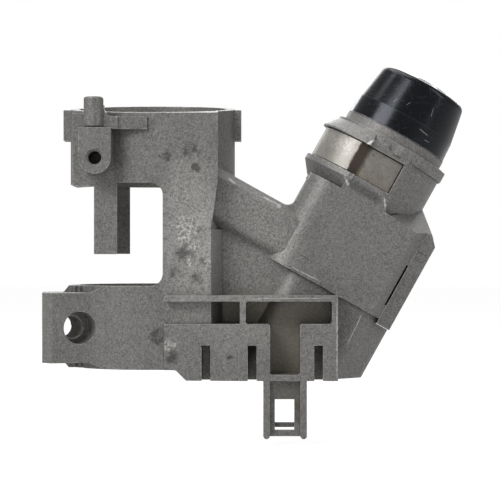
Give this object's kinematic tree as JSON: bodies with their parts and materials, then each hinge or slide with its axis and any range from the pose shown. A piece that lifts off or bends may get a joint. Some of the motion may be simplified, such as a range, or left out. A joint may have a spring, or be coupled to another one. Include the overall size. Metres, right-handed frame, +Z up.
{
  "type": "ignition switch",
  "caption": "Steering column lock housing with a split clamp collar, a key-operated lock that slides a bolt into the column, and a rotary ignition switch.",
  "frame": {"origin": "axis of the steering column bore, at the foot of the clamp band", "axes": "+Z up along the column bore, +X towards the lock, -Y towards the side with the T-shaped frame"},
  "size_m": [0.1546, 0.0673, 0.1347],
  "materials": {
    "casting": "satin die-cast alloy, bright on worn edges",
    "sleeve": "satin rolled steel",
    "cap": "glossy black moulding",
    "bobbin": "natural moulding",
    "winding": "enamelled copper wire",
    "ring": "polished",
    "lock_alloy": "machined die-cast alloy",
    "plug": "turned",
    "tumblers": "stamped",
    "steel": "plain",
    "spring_steel": "drawn wire",
    "bolt_steel": "ground",
    "cover": "satin die-cast alloy",
    "switch_body": "black moulding",
    "switch_inner": "natural moulding",
    "contacts": "stamped copper alloy"
  },
  "bodies": {
    "casting": {"housing": "casting", "guard_sleeve": "sleeve", "cap_shell": "cap", "coil_bobbin": "bobbin", "coil_winding": "winding", "face_ring": "ring", "lock_barrel": "lock_alloy", "return_spring": "spring_steel", "side_cover": "cover", "cover_pins": "steel", "bolt_spring": "spring_steel", "switch_housing": "switch_body", "switch_base": "switch_body", "terminals": "contacts", "switch_screws": "steel"},
    "key_group": {"plug": "plug", "tumblers": "tumblers", "plug_clip": "steel", "shutter_pin": "steel", "drive_shaft": "steel", "lock_cam": "steel", "switch_rotor": "switch_inner", "rotor_contacts": "contacts"},
    "bolt_group": {"bolt_yoke": "bolt_steel", "lock_bolt": "bolt_steel"},
    "shutter": {"key_shutter": "steel"},
    "latch": {"barrel_latch": "steel"}
  },
  "joints": [
    {"name": "key_turn", "type": "hinge", "parent": "casting", "child": "key_group", "pos_m": [0.0899, 0, 0.08457], "axis": [-0.4863, 0, -0.8738], "range_deg": [0, 90]},
    {"name": "bolt_slide", "type": "slide", "parent": "casting", "child": "bolt_group", "axis": [0.8738, 0, -0.4863], "range_m": [0, 0.007], "deforming": ["bolt_spring"]},
    {"name": "shutter_flap", "type": "hinge", "parent": "key_group", "child": "shutter", "pos_m": [0.09782, 0, 0.10311], "axis": [0, 1, 0], "range_deg": [0, 85], "stiffness_Nm_per_rad": 0.0004, "springref_deg": -20.05},
    {"name": "latch_press", "type": "slide", "parent": "casting", "child": "latch", "axis": [0, -1, 0], "range_m": [0, 0.0013], "stiffness_N_per_m": 300, "springref_m": -0.001}
  ],
  "couplings": [
    {"joint": "key_turn", "follows": "bolt_slide", "rad_per_m": 224.4}
  ]
}
